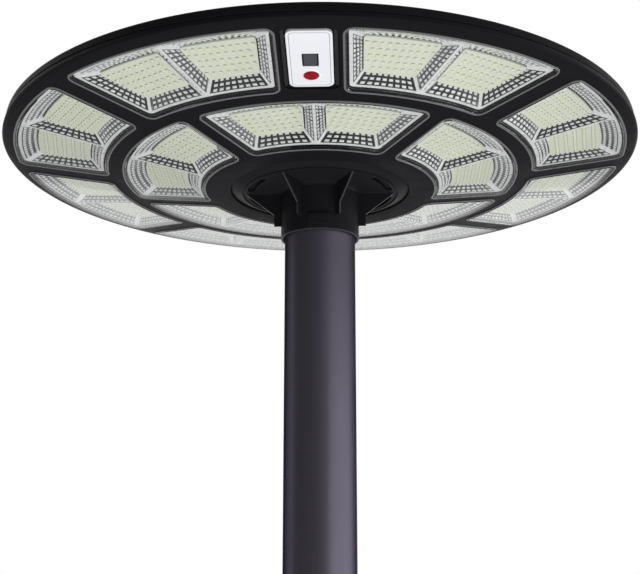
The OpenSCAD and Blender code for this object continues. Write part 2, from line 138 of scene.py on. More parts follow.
# Eight runs of points round a window: corner, outer arc, corner, side, corner, inner arc, corner, side
def windowSides(window, cornerSteps=7, columns=None):
    a, wa, b, wb, r0, r1, f = window
    if columns is None:
        arcs = math.ceil((b - a) / 2)
        columns = (arcs, 1, arcs, 1)

    def turn(spoke, side, away, radius, start, stop):
        centre = beside(spoke, side, away + f, radius)
        return [centre + f * toward(angle) for angle in spread(start, stop, cornerSteps)]

    outA, outB = bearing(a, 1, wa + f, r1 - f), bearing(b, -1, wb + f, r1 - f)
    inA, inB = bearing(a, 1, wa + f, r0 + f), bearing(b, -1, wb + f, r0 + f)
    corners = [turn(a, 1, wa, r1 - f, a - 90, outA), turn(b, -1, wb, r1 - f, outB, b + 90),
               turn(b, -1, wb, r0 + f, b + 90, inB + 180), turn(a, 1, wa, r0 + f, inA - 180, a - 90)]

    def between(start, stop, radius, steps):
        return [radius * toward(angle) for angle in spread(start, stop, steps)]

    def straight(p, q, steps):
        return [p.lerp(q, t) for t in spread(0, 1, steps)]

    return [corners[0], between(outA, outB, r1, columns[0]), corners[1],
            straight(corners[1][-1], corners[2][0], columns[1]), corners[2],
            between(inB, inA, r0, columns[2]), corners[3],
            straight(corners[3][-1], corners[0][0], columns[3])]


def windowLoop(window, by=0.0, cornerSteps=7):
    sides = windowSides(inset(window, by) if by else window, cornerSteps)
    return [p for side in sides for p in side[:-1]]


def ringLoop(radius, count=240):
    return [radius * toward(360 * i / count) for i in range(count)]


def plateLoop(width, length, corner, cx=0.0, cy=0.0, steps=6):
    loop = []
    for k, (sx, sy) in enumerate(((1, 1), (-1, 1), (-1, -1), (1, -1))):
        for a in map(math.radians, spread(90 * k, 90 * k + 90, steps)):
            loop.append(Vector((cx + sx * (width / 2 - corner) + corner * math.cos(a),
                                cy + sy * (length / 2 - corner) + corner * math.sin(a))))
    return loop


# Rounds a profile's corners. A point may hold its own radius as a third number
def softCorners(profile, radius, steps=3):
    soft = []
    for i, point in enumerate(profile):
        here = Vector(point[:2])
        size = point[2] if len(point) > 2 else radius
        if size <= 0 or i in (0, len(profile) - 1):
            soft.append(here)
            continue
        back = Vector(profile[i - 1][:2]) - here
        on = Vector(profile[i + 1][:2]) - here
        reach = min(size, 0.45 * back.length, 0.45 * on.length)  # less than half of either side
        start, stop = here + back.normalized() * reach, here + on.normalized() * reach
        soft += [(1 - t) ** 2 * start + 2 * t * (1 - t) * here + t * t * stop for t in spread(0, 1, steps)]
    return soft


# Shapes

def newShape():
    return {"points": [], "faces": [], "slots": []}


def addLoop(shape, points):
    first = len(shape["points"])
    shape["points"].extend(tuple(p) for p in points)
    return list(range(first, len(shape["points"])))


def addFace(shape, corners, slot=0):
    shape["faces"].append(tuple(corners))
    shape["slots"].append(slot)


def joinLoops(shape, a, b, slot=0, closed=True):
    for i in range(len(a) if closed else len(a) - 1):
        j = (i + 1) % len(a)
        addFace(shape, (a[i], a[j], b[j], b[i]), slot)


def joinAll(shape, loops, slot=0, closed=True):
    for a, b in zip(loops, loops[1:]):
        joinLoops(shape, a, b, slot, closed)


def lift(loop, above):
    return [(p[0], p[1], underZ(p[0], p[1], above)) for p in loop]


def flat(loop, z):
    return [(p[0], p[1], z) for p in loop]


def revolve(shape, profile, slot=0, count=240):
    rings = [addLoop(shape, flat(ringLoop(max(r, 0.0), count), z)) for r, z in profile]
    joinAll(shape, rings, slot)


# Carries a profile of (inset, height above the underside) round a window
def sweepWindow(shape, window, profile, slot=0):
    loops = [addLoop(shape, lift(windowLoop(window, d), h)) for d, h in profile]
    joinAll(shape, loops, slot)
    return loops


def isInside(loop, points):
    x, y = points.T
    inside = np.zeros(len(x), bool)
    px, py = np.array([p[:2] for p in loop]).T
    for ax, ay, bx, by in zip(px, py, np.roll(px, -1), np.roll(py, -1)):
        if ay != by:
            inside ^= ((ay > y) != (by > y)) & (x < (bx - ax) * (y - ay) / (by - ay) + ax)
    return inside


# Fills the area inside an outline and outside its holes. place gives a point its height
def fillBetween(shape, outer, holes, place, slot=0):
    loops = [outer] + list(holes)
    points = [Vector(p[:2]) for loop in loops for p in loop]
    edges, first = [], 0
    for loop in loops:
        edges += [(first + i, first + (i + 1) % len(loop)) for i in range(len(loop))]
        first += len(loop)
    found, _, triangles, _, _, _ = delaunay_2d_cdt(points, edges, [], 0, 1e-6)
    spots = np.array([p[:] for p in found])
    middles = spots[np.array(triangles)].mean(axis=1)
    keep = isInside(outer, middles)
    for hole in holes:
        keep &= ~isInside(hole, middles)
    ids = addLoop(shape, [place(x, y) for x, y in spots])
    for corners, kept in zip(triangles, keep):
        if kept:
            addFace(shape, [ids[c] for c in corners], slot)


def onUnderside(above=0.0):
    return lambda x, y: (x, y, underZ(x, y, above))


def atHeight(z):
    return lambda x, y: (x, y, z)


# A plate that stands out from the axis, its profile in (radius, height). The edges listed in the last argument
# are in slot 1, a lighter finish painted as a highlight
def addFin(shape, profile, angle, thick, highlighted=()):
    out = toward(angle)
    across = Vector((-out.y, out.x)) * thick / 2
    sides = [addLoop(shape, [(*(out * r + across * s), z) for r, z in profile]) for s in (-1, 1)]
    for side in sides:
        addFace(shape, side)
    for i in range(len(profile)):
        j = (i + 1) % len(profile)
        addFace(shape, (sides[0][i], sides[0][j], sides[1][j], sides[1][i]), 1 if i in highlighted else 0)


def makePiece(shape, name, finishes, body="lamp", stands=(), crease=34, bevel=0.0):
    mesh = bpy.data.meshes.new(name)
    work = bmesh.new()
    verts = [work.verts.new(Vector(p) / 1000) for p in shape["points"]]
    for corners, kind in zip(shape["faces"], shape["slots"]):
        try:
            face = work.faces.new([verts[c] for c in corners])
        except ValueError:
            continue
        face.material_index = kind
    bmesh.ops.remove_doubles(work, verts=work.verts, dist=4e-6)
    bmesh.ops.dissolve_degenerate(work, edges=work.edges, dist=1e-7)
    loose = [v for v in work.verts if not v.link_faces]
    bmesh.ops.delete(work, geom=loose, context="VERTS")
    bmesh.ops.recalc_face_normals(work, faces=work.faces)
    if bevel:
        hard = [e for e in work.edges if len(e.link_faces) == 2 and e.calc_face_angle(0) > math.radians(crease)]
        bmesh.ops.bevel(work, geom=hard, offset=bevel / 1000, segments=2, profile=0.5,
                        affect="EDGES", clamp_overlap=True)
    for face in work.faces:
        face.smooth = True
    for edge in work.edges:
        if len(edge.link_faces) == 2 and edge.calc_face_angle(0) > math.radians(crease):
            edge.smooth = False
    work.to_mesh(mesh)
    work.free()
    piece = bpy.data.objects.new(name, mesh)
    scene.collection.objects.link(piece)
    for finish in finishes:
        mesh.materials.append(finish)
    even = piece.modifiers.new("even shading", "WEIGHTED_NORMAL")
    even.keep_sharp = True
    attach(piece, body)
    if stands:
        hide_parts(*stands)


# Finishes

# A node with values for its inputs and links into them
def addNode(tree, kind, values=(), links=()):
    node = tree.nodes.new("ShaderNode" + kind)
    for name, value in values:
        node.inputs[name].default_value = value
    for name, socket in links:
        tree.links.new(socket, node.inputs[name])
    return node


def newFinish(name, colour, roughness, metallic=0.0, specular=0.5, ior=1.5):
    finish = bpy.data.materials.new(name)
    finish.use_nodes = True
    shader = finish.node_tree.nodes["Principled BSDF"]
    for key, value in (("Base Color", (*colour, 1)), ("Roughness", roughness), ("Metallic", metallic),
                       ("Specular IOR Level", specular), ("IOR", ior)):
        shader.inputs[key].default_value = value
    return finish, shader


def addMath(tree, operation, a, b):
    node = addNode(tree, "Math", links=((0, a), (1, b)))
    node.operation = operation
    return node.outputs[0]


# Maps value from low..high to start..stop. Start and stop are numbers or sockets
def addRange(tree, value, low, high, start=0.0, stop=1.0):
    node = addNode(tree, "MapRange", (("From Min", low), ("From Max", high)), (("Value", value),))
    for name, end in (("To Min", start), ("To Max", stop)):
        if isinstance(end, bpy.types.NodeSocket):
            tree.links.new(end, node.inputs[name])
        else:
            node.inputs[name].default_value = end
    return node.outputs["Result"]


# Whether a ray starts at the camera, and whether it comes by way of a mirror or a pane
def addRays(tree):
    path = addNode(tree, "LightPath").outputs
    return path["Is Camera Ray"], addMath(tree, "MAXIMUM", path["Is Glossy Ray"], path["Is Transmission Ray"])


def addPlace(tree, kind):
    place = addNode(tree, "TexCoord").outputs[kind]
    return place, addNode(tree, "SeparateXYZ", links=(("Vector", place),)).outputs


def mixShaders(tree, share, first, second):
    mix = addNode(tree, "MixShader", (), (("Fac", share), (1, first.outputs[0]), (2, second.outputs[0])))
    tree.links.new(mix.outputs["Shader"], tree.nodes["Material Output"].inputs["Surface"])


def addNoise(tree, size, detail):
    place = addNode(tree, "TexCoord").outputs["Object"]
    noise = addNode(tree, "TexNoise", (("Scale", 1000 / size), ("Detail", detail)), (("Vector", place),))
    return noise.outputs["Fac"]


# Fine relief: size and depth in millimetres
def addGrain(finish, shader, size, depth, strength=1.0, detail=2.0):
    tree = finish.node_tree
    bump = addNode(tree, "Bump", (("Strength", strength), ("Distance", depth / 1000)),
                   (("Height", addNoise(tree, size, detail)),))
    tree.links.new(bump.outputs["Normal"], shader.inputs["Normal"])


# Slow change of colour over the surface
def addMottle(finish, shader, size, dark, light, detail=3.0):
    tree = finish.node_tree
    blend = addNode(tree, "Mix")
    blend.data_type = "RGBA"
    blend.inputs["A"].default_value = (*dark, 1)
    blend.inputs["B"].default_value = (*light, 1)
    tree.links.new(addNoise(tree, size, detail), blend.inputs["Factor"])
    tree.links.new(blend.outputs["Result"], shader.inputs["Base Color"])


# Slow change of roughness over the surface. The noise mostly keeps between 0.3 and 0.7
def addWear(finish, shader, size, smooth, rough, detail=3.0):
    tree = finish.node_tree
    tree.links.new(addRange(tree, addNoise(tree, size, detail), 0.3, 0.7, smooth, rough),
                   shader.inputs["Roughness"])


def mouldedPlastic(name, dark, light, smooth, rough, specular, grain=0.35, depth=0.02):
    finish, shader = newFinish(name, light, rough, specular=specular)
    addMottle(finish, shader, 40, dark, light)
    addWear(finish, shader, 25, smooth, rough)
    addGrain(finish, shader, grain, depth)
    return finish


# Clear plastic or glass that lets lamp light through to what lies behind it
def clearFinish(name, tint, roughness, ior, shadow, specular=0.5):
    finish, shader = newFinish(name, tint, roughness, specular=specular, ior=ior)
    shader.inputs["Transmission Weight"].default_value = 1.0
    addGrain(finish, shader, 14, 0.02, 0.5, 1.0)
    tree = finish.node_tree
    path = addNode(tree, "LightPath")
    through = addNode(tree, "BsdfTransparent", (("Color", (*shadow, 1)),))
    mixShaders(tree, path.outputs["Is Shadow Ray"], shader, through)
    return finish


blackPlastic = mouldedPlastic("head black", (0.010, 0.010, 0.012), (0.012, 0.012, 0.014), 0.34, 0.46, 0.03)
hubPlastic = mouldedPlastic("hub black", (0.012, 0.012, 0.014), (0.014, 0.014, 0.016), 0.30, 0.42, 0.04)
# Painted highlight: the bead round each window is black plastic, made lighter grey here to show the light line
# along its edge
beadHighlightGrey = mouldedPlastic("bead painted highlight grey", (0.13, 0.133, 0.14), (0.17, 0.173, 0.18), 0.2, 0.3, 0.5)
# Painted highlight: lighter grey for the light lines along the rib edges and the hub's lower edge
ribEdgeHighlight = mouldedPlastic("rib edge painted highlight", (0.030, 0.030, 0.032), (0.045, 0.045, 0.047), 0.3, 0.4, 0.3)
# Painted sheen: the bay ridges are the housing's black plastic, made lighter here to show the sheen along them
ridgeSheenPlastic = mouldedPlastic("ridge black painted sheen", (0.020, 0.020, 0.022), (0.026, 0.026, 0.028), 0.22, 0.32, 0.4)
recessPlastic = mouldedPlastic("bay black", (0.007, 0.007, 0.008), (0.010, 0.010, 0.011), 0.45, 0.6, 0.1)
labelWhite = mouldedPlastic("label white", (0.87, 0.88, 0.92), (0.90, 0.91, 0.95), 0.35, 0.5, 0.4, 0.5, 0.01)
labelLine = mouldedPlastic("label line", (0.20, 0.20, 0.22), (0.26, 0.26, 0.28), 0.5, 0.6, 0.3)
sensorGrey = mouldedPlastic("sensor grey", (0.065, 0.075, 0.085), (0.08, 0.09, 0.1), 0.2, 0.3, 0.3)
buttonRed = mouldedPlastic("button red", (0.27, 0.005, 0.012), (0.34, 0.008, 0.017), 0.25, 0.35, 0.2)

print("finishes ready")

# Camera, light and stage

view = {
    "lens": 67.596,
    "sensor": 36.0,
    "distance": 990.0,  # from the pole's axis, measured level
    "below": 374.5,  # below the rim's lowest edge
    "turn": 1.73,  # degrees to the right of the panel
    "pitch": 14.86,  # degrees upwards
}
eye = bpy.data.cameras.new("camera")
eye.lens = view["lens"]
eye.sensor_width = view["sensor"]
eye.clip_start = 0.02
camera = bpy.data.objects.new("camera", eye)
turn = math.radians(view["turn"])
camera.location = Vector((view["distance"] * math.sin(turn), -view["distance"] * math.cos(turn),
                          headZ - view["below"])) / 1000
camera.rotation_euler = (math.radians(90 + view["pitch"]), 0, turn)
scene.collection.objects.link(camera)
scene.camera = camera
scene.view_settings.view_transform = "Standard"

studio = {
    "soft": (0.26, 0.38),  # level of the room's light on the object, from the left and from the right
    "room": (0.08, 0.7, 0.86),  # level of the room in reflections: front left, front right and behind
    "frontTurn": (-0.1, 0.5),  # share of the way to the right over which the front changes
    "behindTurn": (-0.1, 0.1),  # share of the way to the back over which front turns to behind
    "key": {"at": (2.3, -0.6, 2.7), "to": (0, 0, 2.7), "size": (4.6, 1.2), "power": 37, "shines": True},
    "fill": {"at": (-0.05, -1.3, 0.4), "to": (-0.05, -1.3, 3.0), "size": (2.4, 1.8), "power": 87,
             "shines": False},
    "floor": 14.0,  # radius in metres, and that of a ring within it
    "floorRing": 3.0,
    "floorZ": -0.5,  # in millimetres
    "pale": 0.8,  # colour and glow of the floor where it looks pale
    "glow": 0.42,
    "rear": (-0.2, 0.4),  # metres behind the pole over which the floor turns pale in reflections
    # level of the floor behind the lamp in reflections, from its middle to its edge
    "behind": ((0.0, 0.0), (0.11, 0.0), (0.13, 0.8), (0.18, 0.7), (0.22, 0.25), (0.55, 0.1),
               (0.8, 0.5), (1.0, 0.7)),
}
world = bpy.data.worlds.new("studio")
scene.world = world
world.use_nodes = True
tree = world.node_tree
sky = tree.nodes["Background"]
sky.inputs["Color"].default_value = (1, 1, 1, 1)
seen, mirrored = addRays(tree)
_, axes = addPlace(tree, "Generated")
soft = addRange(tree, axes["X"], -1.0, 1.0, *studio["soft"])
front = addRange(tree, axes["X"], *studio["frontTurn"], *studio["room"][:2])
around = addRange(tree, axes["Y"], *studio["behindTurn"], front, studio["room"][2])
room = addMath(tree, "MAXIMUM", around, seen)
level = addRange(tree, addMath(tree, "MAXIMUM", seen, mirrored), 0.0, 1.0, soft, room)
tree.links.new(level, sky.inputs["Strength"])

for name in ("key", "fill"):
    lamp = studio[name]
    light = bpy.data.lights.new(name, "AREA")
    light.shape = "RECTANGLE"
    light.size, light.size_y = lamp["size"]
    light.energy = lamp["power"]
    holder = bpy.data.objects.new(name, light)
    holder.location = lamp["at"]
    holder.rotation_euler = (Vector(lamp["to"]) - Vector(lamp["at"])).to_track_quat("-Z", "Y").to_euler()
    holder.visible_glossy = holder.visible_transmission = lamp["shines"]
    scene.collection.objects.link(holder)

floorFinish, floorShader = newFinish("studio floor", (0.14, 0.14, 0.14), 0.8, specular=0.1)
addMottle(floorFinish, floorShader, 900, (0.12, 0.12, 0.12), (0.16, 0.16, 0.16))
tree = floorFinish.node_tree
pale = addNode(tree, "BsdfPrincipled", (
    ("Base Color", (*[studio["pale"]] * 3, 1)), ("Roughness", 0.8),
    ("Emission Color", (1, 1, 1, 1)), ("Emission Strength", studio["glow"])))
place, axes = addPlace(tree, "Object")
away = addNode(tree, "VectorMath", links=((0, place),))
away.operation = "LENGTH"
outwards = addRange(tree, away.outputs["Value"], 0.0, studio["floor"])
share = addNode(tree, "FloatCurve", links=(("Value", outwards),))
curve = share.mapping.curves[0]
stops = studio["behind"]
curve.points[0].location, curve.points[1].location = stops[0], stops[-1]
for stop in stops[1:-1]:
    curve.points.new(*stop)
for point in curve.points:
    point.handle_type = "VECTOR"
share.mapping.update()
rear = addRange(tree, axes["Y"], *studio["rear"])
seen, mirrored = addRays(tree)
behind = addMath(tree, "MULTIPLY", addMath(tree, "MULTIPLY", mirrored, share.outputs["Value"]), rear)
mixShaders(tree, addMath(tree, "MAXIMUM", seen, behind), floorShader, pale)
floorShape = newShape()
floorRadii = (0, studio["floorRing"] * 1000, studio["floor"] * 1000)
revolve(floorShape, [(r, studio["floorZ"]) for r in floorRadii], count=96)
floorMesh = bpy.data.meshes.new("floor")
floorMesh.from_pydata([Vector(p) / 1000 for p in floorShape["points"]], [], floorShape["faces"])
floorMesh.materials.append(floorFinish)
floor = bpy.data.objects.new("floor", floorMesh)
scene.collection.objects.link(floor)
print("camera, light and floor ready")

# Windows of the head

outerSpokes = [(a, head["bay"] if a == 0 else head["outerSpoke"]) for a in head["outerAngles"]]
innerSpokes = [(a, head["innerSpoke"]) for a in head["innerAngles"]]
# The bay counts as a spoke on either side of angle 0, with no window between the two
outerWindows = [(*a, *b, outerR0, outerR1, head["corner"]) for a, b in zip(outerSpokes, outerSpokes[1:])
                if a != b]
innerWindows = [(*a, *b, innerR0, innerR1, head["corner"]) for a, b in zip(innerSpokes, innerSpokes[1:])]
windows = [("outer", i, w) for i, w in enumerate(outerWindows, 1)]
windows += [("inner", i, w) for i, w in enumerate(innerWindows, 1)]

lens = {
    "gap": 0.2,
    "rebate": 1.9,  # how far its edge stands in the window
    "rise": 1.0,  # how far its face stands out below the underside
    "thick": 2.0, "wall": 2.0, "bevel": 0.8,
    "flatOut": 3.0, "flatIn": 4.0,  # strips of the two faces next to the edge
    "ledge": 2.4, "ledgeDepth": 2.0,  # step in the housing that carries the lens
    "bead": 0.8, "beadWidth": 1.6,  # raised line round a window
}

panel = {
    "radius": (outerR0 + outerR1) / 2 + 1.6,
    "recess": (42.0, 74.6), "recessAt": 1.6, "recessCorner": 7.0, "recessDepth": 1.6, "recessEdge": 0.4,
    "plate": (32.0, 68.0), "plateCorner": 5.0, "plateThick": 2.2,
    "ridge": 2.6, "ridgeGap": 1.0, "ridgeSink": 0.3, "ridgeLap": 0.2,
    "sensor": (11.6, 15.6), "sensorAt": 0.4, "sensorSink": 0.4,
    "sensorRim": ((0.0, 1.5), (0.0, 0.0), (0.75, 0.0), (0.85, -0.15)),  # inset and depth
    "button": 10.6, "buttonAt": 19.4, "buttonRise": 1.4, "gap": 0.3,
    # share of the button's radius, and depth
    "dome": ((0.0, 0.0), (0.35, 0.06), (0.65, 0.25), (0.85, 0.55), (0.96, 0.95), (1.0, 1.4)),
    "flange": 1.6, "flangeSink": 0.4, "flangeThick": 1.0,
    # beyond the button's radius, beyond the plate's face, and the corner's radius
    "bezel": ((0.35, 0.3), (0.35, -0.3, 0.2), (1.2, -0.25, 0.2), (1.3, 0.02)),
    "lineIn": 1.9, "line": 0.35, "lineRise": 0.03,
}
tilt = math.radians(head["slope"])


# Panel coordinates: y towards the hub, z into the head
def onPanel(x, y, z):
    return (x, -panel["radius"] + y * math.cos(tilt) + z * math.sin(tilt),
            underZ(0, panel["radius"]) - y * math.sin(tilt) + z * math.cos(tilt))


def panelLoop(loop, z):
    return [onPanel(p[0], p[1], z) for p in loop]


# Lower housing

def bandR(z):
    return headR - head["lean"] * (z - headZ) / head["band"]


shell = newShape()
partZ = headZ + head["lowerBand"]
wallR = headR - head["lean"] - head["skin"]
edgeR = headR - head["lipWidth"]
revolve(shell, softCorners([
    (edgeR, underZ(edgeR, 0)), (headR, headZ + head["lip"], 1.2),
    (bandR(partZ - head["groove"]), partZ - head["groove"], 0.3), (bandR(partZ) - head["groove"], partZ, 0.2),
    (wallR, partZ), (wallR, underZ(wallR, 0, head["skin"]))], 0.2))
seatR = hubR + head["hubGap"]
revolve(shell, softCorners([(dishR, dishZ), (seatR, dishZ, 0.6), (seatR, hubSeatZ), (0, hubSeatZ)], 0.3))
recess = plateLoop(*panel["recess"], panel["recessCorner"], cy=panel["recessAt"])
recessRim = [Vector(p[:2]) for p in panelLoop(recess, 0)]
mouths = [windowLoop(w, -lens["beadWidth"]) for _, _, w in windows]
fillBetween(shell, ringLoop(edgeR), [ringLoop(dishR)] + mouths + [recessRim], onUnderside())
lip = softCorners([(-lens["beadWidth"], 0), (-lens["beadWidth"], -lens["bead"], 0.5), (0, -lens["bead"], 0.4),
                   (0, lens["ledgeDepth"], 0.2), (lens["ledge"], lens["ledgeDepth"], 0.2),
                   (lens["ledge"], head["skin"])], 0.3)
# The first part of the lip is the bead round the window, lighter grey than the black housing as a painted
# highlight, the rest lies inside it
beadEnd = 1 + max(i for i, p in enumerate(lip) if p[1] < -0.3)
for _, _, w in windows:
    sweepWindow(shell, w, lip[:beadEnd], 2)
    sweepWindow(shell, w, lip[beadEnd - 1:])
edge = panel["recessEdge"]
recessWall = plateLoop(*[size - 2 * edge for size in panel["recess"]], panel["recessCorner"] - edge,
                       cy=panel["recessAt"])
loops = [addLoop(shell, lift(recessRim, 0)), addLoop(shell, panelLoop(recessWall, edge)),
         addLoop(shell, panelLoop(recessWall, panel["recessDepth"]))]
joinAll(shell, loops, 1)
addFace(shell, loops[-1], 1)
makePiece(shell, "housingShell", [blackPlastic, recessPlastic, beadHighlightGrey],
          stands=["lower_housing"])

ridges = newShape()
ridgeX = panel["plate"][0] / 2 + panel["ridgeGap"] + panel["ridge"] / 2
for s in (-1, 1):
    outline = plateLoop(panel["ridge"], panel["plate"][1], 0.6, cx=s * ridgeX, steps=3)
    top = addLoop(ridges, panelLoop(outline, panel["ridgeSink"]))
    low = addLoop(ridges, panelLoop(outline, panel["recessDepth"] + panel["ridgeLap"]))
    joinLoops(ridges, top, low)
    addFace(ridges, top)
makePiece(ridges, "bayRidges", [ridgeSheenPlastic], bevel=0.35)
print("lower housing ready")

# Upper cover and solar panel

solar = {
    "bevel": 12.0, "ring": 11.0, "gap": 0.5, "backing": 0.8, "cell": 0.4, "glass": 3.2,
    "play": 0.05, "margin": 8.0,
    "cellSize": (78.0, 39.0), "cellThick": 0.3, "cellGap": 2.0, "cellCorner": 2.5,
    "busbars": 3, "busbar": 1.2, "busbarRise": 0.04,
    "fingers": 16, "finger": 0.12, "fingerRise": 0.02, "fingerInset": 1.0,
}
pocketR = headR - head["lean"] - solar["bevel"] - solar["ring"]
solarR = pocketR - solar["gap"]
seatZ = topZ - solar["glass"] - solar["cell"] - solar["backing"]
bandZ = headZ + head["band"]
cover = newShape()
revolve(cover, softCorners([
    (wallR, partZ), (bandR(partZ) - head["groove"], partZ, 0.2),
    (bandR(partZ + head["groove"]), partZ + head["groove"], 0.3), (bandR(bandZ), bandZ, 1.5),
    (pocketR + solar["ring"], topZ, 1.0), (pocketR, topZ, 0.5), (pocketR, seatZ, 0.2), (0, seatZ)], 0.5))
makePiece(cover, "coverShell", [blackPlastic], stands=["upper_cover"])

backingSheet = mouldedPlastic("backing sheet", (0.70, 0.72, 0.74), (0.78, 0.80, 0.82), 0.5, 0.65, 0.3)
sheet = newShape()
sheetLow, sheetHigh = seatZ + solar["play"], seatZ + solar["backing"] - solar["play"]
revolve(sheet, [(0, sheetLow), (solarR, sheetLow), (solarR, sheetHigh), (0, sheetHigh)])
makePiece(sheet, "backingSheet", [backingSheet], stands=["solar_backing"])

cellBlue, cellShader = newFinish("solar cell", (0.012, 0.020, 0.060), 0.22, specular=0.5)
addMottle(cellBlue, cellShader, 30, (0.008, 0.014, 0.045), (0.018, 0.030, 0.085), 4.0)
addWear(cellBlue, cellShader, 12, 0.18, 0.3)
fingers, fingerShader = newFinish("cell fingers", (0.55, 0.56, 0.58), 0.35, metallic=0.8)
addMottle(fingers, fingerShader, 4, (0.48, 0.49, 0.52), (0.62, 0.63, 0.65))
cells = newShape()
cellZ = seatZ + solar["backing"]
reach = solarR - solar["margin"]
cw, cl = solar["cellSize"]
pitchX, pitchY = cw + solar["cellGap"], cl + solar["cellGap"]
columns, rows = math.floor(reach / pitchX), math.floor(reach / pitchY)
spots = [(i * pitchX, j * pitchY) for i in range(-columns, columns + 1) for j in range(-rows, rows + 1)
         if math.hypot(abs(i) * pitchX + cw / 2, abs(j) * pitchY + cl / 2) < reach]


def addStrip(shape, x0, x1, y0, y1, z):
    addFace(shape, addLoop(shape, [(x0, y0, z), (x1, y0, z), (x1, y1, z), (x0, y1, z)]), 1)


faceUp = cellZ + solar["cellThick"]
for x, y in spots:
    outline = plateLoop(cw, cl, solar["cellCorner"], x, y, 1)
    low, high = addLoop(cells, flat(outline, cellZ)), addLoop(cells, flat(outline, faceUp))
    joinLoops(cells, low, high)
    addFace(cells, high)
    for k in range(solar["busbars"]):
        barX, half = x + cw * ((k + 0.5) / solar["busbars"] - 0.5), solar["busbar"] / 2
        addStrip(cells, barX - half, barX + half, y - pitchY / 2, y + pitchY / 2, faceUp + solar["busbarRise"])
    for k in range(solar["fingers"]):
        fingerY, half = y + cl * ((k + 0.5) / solar["fingers"] - 0.5), solar["finger"] / 2
        end = cw / 2 - solar["fingerInset"]
        addStrip(cells, x - end, x + end, fingerY - half, fingerY + half, faceUp + solar["fingerRise"])
makePiece(cells, "solarCells", [cellBlue, fingers], stands=["solar_cells"])

solarClear = clearFinish("solar glass", (0.93, 0.97, 0.98), 0.03, 1.5, (0.92, 0.94, 0.95))
pane = newShape()
paneZ = cellZ + solar["cell"] + solar["play"]
revolve(pane, softCorners([(0, paneZ), (solarR, paneZ, 0.3), (solarR, topZ, 0.6), (0, topZ)], 0.4))
makePiece(pane, "solarPane", [solarClear], stands=["solar_glass"])
print("cover and solar panel ready")

# Lenses, reflectors and boards

lensClear = clearFinish("lens clear", (0.98, 0.99, 0.985), 0.02, 1.27, (0.94, 0.95, 0.945), 0.3)
g = lens["gap"]
lensOuter = softCorners([(g, lens["rebate"]), (g, lens["bevel"] - lens["rise"]),
                         (g + lens["bevel"], -lens["rise"]),
                         (g + lens["bevel"] + lens["flatOut"], -lens["rise"])], 0.5, 4)
lensInner = softCorners([(g + lens["wall"], lens["rebate"]), (g + lens["wall"], lens["thick"] - lens["rise"]),
                         (g + lens["wall"] + lens["flatIn"], lens["thick"] - lens["rise"])], 0.5, 4)
for ring, number, w in windows:
    glass = newShape()
    outside = sweepWindow(glass, w, lensOuter)
    inside = sweepWindow(glass, w, lensInner)
    joinLoops(glass, outside[0], inside[0])
    for profile in (lensOuter, lensInner):
        last = profile[-1]
        fillBetween(glass, windowLoop(w, last[0]), [], onUnderside(last[1]))
    makePiece(glass, f"lens_{ring}_{number}", [lensClear], stands=[f"lens_{ring}_{number}"])
print("lenses ready")

wells = {
    "rim": 2.8, "rimLevel": 3.1,  # rim round the wells: width and height above the underside
    "lap": 1.6,  # how far the rim lies over the ledge
    "ridge": 1.2,  # half width of the ridge between two wells
    "corner": 3.6,
    "depth": 6.4,  # from the rim to the floor
    "runOuter": 13.0, "runInner": 8.0, "runSide": 7.0,  # how far the walls lean in
    "pad": 5.7,  # pitch of the pads along a wall
    "padRows": 3, "padRise": 0.7,
    "board": 1.6, "boardMargin": 0.4, "boardDrop": 0.1, "boardEdge": 0.2,
}
# The mirror silver is kept dark so the strips between the pads read as dark lines, a painted dark reflection
silver, silverShader = newFinish("reflector silver", (0.52, 0.53, 0.55), 0.08, metallic=1.0)
addMottle(silver, silverShader, 8, (0.48, 0.49, 0.51), (0.56, 0.57, 0.59))
addWear(silver, silverShader, 10, 0.05, 0.11)
# Painted reflection: a pale, mostly unmetallic copy of the reflector for its rim, pad tops and outer corners,
# standing in for bright reflections
paintedReflectionWhite, paintedReflectionShader = newFinish("reflector painted reflection white", (0.92, 0.92, 0.93), 0.3, metallic=0.2)
addMottle(paintedReflectionWhite, paintedReflectionShader, 8, (0.89, 0.89, 0.90), (0.94, 0.94, 0.95))
addWear(paintedReflectionWhite, paintedReflectionShader, 10, 0.25, 0.35)


# Each window has two wells, one either side of a ridge
def wellMouth(window, half):
    a, wa, b, wb, r0, r1, _ = inset(window, lens["ledge"] + wells["rim"])
    middle = (bearing(window[0], 1, window[1], window[5]) + bearing(window[2], -1, window[3], window[5])) / 2
    if half == 0:
        return (a, wa, middle, wells["ridge"], r0, r1, wells["corner"])
    return (middle, wells["ridge"], b, wb, r0, r1, wells["corner"])


def wellFloor(mouth):
    return trim(mouth, wells["runSide"], wells["runInner"], wells["runOuter"], wells["corner"])


# Pads are level along the wall, with round ends, and arched across it
alongPad = {"at": (0.0, 0.19, 0.27, 0.36, 0.64, 0.73, 0.81, 1.0),
            "lift": (0.0, 0.0, 0.7, 1.0, 1.0, 0.7, 0.0, 0.0)}
acrossPad = {"at": (0.0, 0.24, 0.36, 0.5, 0.64, 0.76, 1.0), "lift": (0.0, 0.0, 0.75, 1.0, 0.75, 0.0, 0.0)}


# One pad on the quad a b c d, standing into the well; its top in slot 1, pale as a painted reflection, the
# strips round it in slot gaps
def addPad(shape, a, b, c, d, rise, gaps):
    normal = (b - a).cross(d - a).normalized()
    if normal.z > 0:
        normal = -normal
    rows = []
    for v, liftV in zip(acrossPad["at"], acrossPad["lift"]):
        row = []
        for u, liftU in zip(alongPad["at"], alongPad["lift"]):
            spot = a.lerp(b, u).lerp(d.lerp(c, u), v)
            row.append(spot + normal * rise * liftU * liftV)
        rows.append(addLoop(shape, row))
    for j, (low, high) in enumerate(zip(rows, rows[1:])):
        for i in range(len(low) - 1):
            onTop = max(acrossPad["lift"][j:j + 2]) > 0 and max(alongPad["lift"][i:i + 2]) > 0
            addFace(shape, (low[i], low[i + 1], high[i + 1], high[i]), 1 if onTop else gaps)


